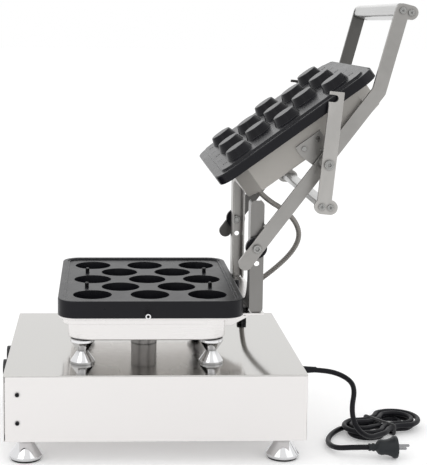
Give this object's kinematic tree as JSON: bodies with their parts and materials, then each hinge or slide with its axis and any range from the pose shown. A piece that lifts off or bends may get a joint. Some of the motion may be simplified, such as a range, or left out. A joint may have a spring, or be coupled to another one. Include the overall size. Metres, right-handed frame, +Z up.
{
  "type": "electric pie maker",
  "caption": "Countertop press oven with a swing-over head of thirteen punches over a plate of round cavities, a lever frame and a latch",
  "frame": {"origin": "on the floor under the middle of the machine with its head swung open, the supply cord left out", "axes": "+Z up, the operator stands on the -Y side facing +Y, +X to the operator's right"},
  "size_m": [0.42, 0.7561, 0.7573],
  "materials": {
    "cabinet_steel": "fine satin grain",
    "polished_steel": "polished",
    "bar_steel": "lengthwise grain",
    "head_steel": "satin",
    "chrome": "bright",
    "zinc": "plated",
    "cast_grey": "non-stick coat, satin",
    "cast_black": "non-stick coat, satin",
    "handle_alloy": "satin",
    "conduit_metal": "ribbed",
    "heater_metal": "dull",
    "mineral_wool": "matt",
    "knob_plastic": "satin",
    "panel_plastic": "satin",
    "ceramic": "matt",
    "lamp_lens": "clear",
    "rocker_plastic": "gloss",
    "rubber": "matt",
    "cord_rubber": "satin",
    "plug_rubber": "satin",
    "tie_plastic": "satin",
    "brass": "bright"
  },
  "bodies": {
    "base": {"base_shell": "cabinet_steel", "front_panel": "cabinet_steel", "base_cover": "polished_steel", "base_bottom": "cabinet_steel", "panel_screws": "zinc", "feet": "chrome", "foot_pads": "rubber", "thermostats": "ceramic", "dial_rings": "panel_plastic", "indicator_lamps": "lamp_lens", "switch_housing": "panel_plastic", "terminal_block": "ceramic", "support_spools": "chrome", "wire_duct": "head_steel", "lower_housing": "head_steel", "lower_insulation": "mineral_wool", "lower_heater": "heater_metal", "bench_plate": "cabinet_steel", "rear_brackets": "bar_steel", "lower_plate": "cast_grey", "locating_pins": "zinc", "catch_pins": "chrome", "probe_cap": "cast_black", "right_post": "bar_steel", "left_post": "bar_steel", "post_bolts": "cast_black", "pivot_bolts": "zinc", "base_gland": "zinc", "cable_gland": "panel_plastic", "cord_hank": "cord_rubber", "cord_run": "cord_rubber", "cord_tail": "cord_rubber", "cord_tie": "tie_plastic", "plug_body": "plug_rubber", "plug_pins": "brass"},
    "carrier": {"pivot_bosses": "chrome"},
    "arms": {"right_arm": "bar_steel", "left_arm": "bar_steel", "handle_bar": "handle_alloy", "handle_screws": "zinc", "head_bolts": "zinc", "latch_spacers": "zinc"},
    "bush": {"head_bushes": "zinc"},
    "head": {"upper_plate": "cast_black", "upper_housing": "head_steel", "upper_heater": "heater_metal", "upper_insulation": "mineral_wool", "head_lugs": "bar_steel", "lug_screws": "zinc", "head_gland": "zinc"},
    "latch": {"right_latch_lever": "bar_steel", "left_latch_lever": "bar_steel", "latch_bar": "handle_alloy", "latch_screws": "zinc"},
    "conduit": {"flexible_conduit": "conduit_metal"},
    "upper_dial": {"upper_knob": "knob_plastic", "upper_knob_shaft": "zinc"},
    "lower_dial": {"lower_knob": "knob_plastic", "lower_knob_shaft": "zinc"},
    "switch": {"rocker": "rocker_plastic"}
  },
  "joints": [
    {"name": "swing", "type": "hinge", "parent": "base", "child": "carrier", "pos_m": [0, 0.0892, 0.3525], "axis": [1, 0, 0], "range_deg": [0, 120.54]},
    {"name": "press", "type": "hinge", "parent": "carrier", "child": "arms", "pos_m": [0, 0.0892, 0.3525], "axis": [1, 0, 0], "range_deg": [0, 5.5]},
    {"name": "head_level", "type": "hinge", "parent": "arms", "child": "bush", "pos_m": [0, 0.19775, 0.49761], "axis": [1, 0, 0], "range_deg": [-5.5, 0]},
    {"name": "head_tilt", "type": "hinge", "parent": "bush", "child": "head", "pos_m": [0, 0.19775, 0.49761], "axis": [1, 0, 0], "range_deg": [0, 23.57]},
    {"name": "latch_swing", "type": "hinge", "parent": "arms", "child": "latch", "pos_m": [0, 0.19775, 0.49761], "axis": [1, 0, 0], "range_deg": [-9, 57.56]},
    {"name": "conduit_follow", "type": "hinge", "parent": "base", "child": "conduit", "pos_m": [0, 0.07599, 0.37932], "axis": [1, 0, 0], "range_deg": [0, 144.15], "deforming": ["flexible_conduit"]},
    {"name": "upper_dial_turn", "type": "hinge", "parent": "base", "child": "upper_dial", "pos_m": [-0.025, -0.34, 0.096], "axis": [0, -1, 0], "range_deg": [0, 270]},
    {"name": "lower_dial_turn", "type": "hinge", "parent": "base", "child": "lower_dial", "pos_m": [-0.115, -0.34, 0.096], "axis": [0, -1, 0], "range_deg": [0, 270]},
    {"name": "rocker_tilt", "type": "hinge", "parent": "base", "child": "switch", "pos_m": [0.11, -0.3276, 0.096], "axis": [1, 0, 0], "range_deg": [-6, 6]}
  ],
  "couplings": [
    {"joint": "head_level", "follows": "press", "ratio": -1},
    {"joint": "head_tilt", "follows": "swing", "ratio": 0.19544},
    {"joint": "conduit_follow", "follows": "swing", "ratio": 1.1954}
  ]
}
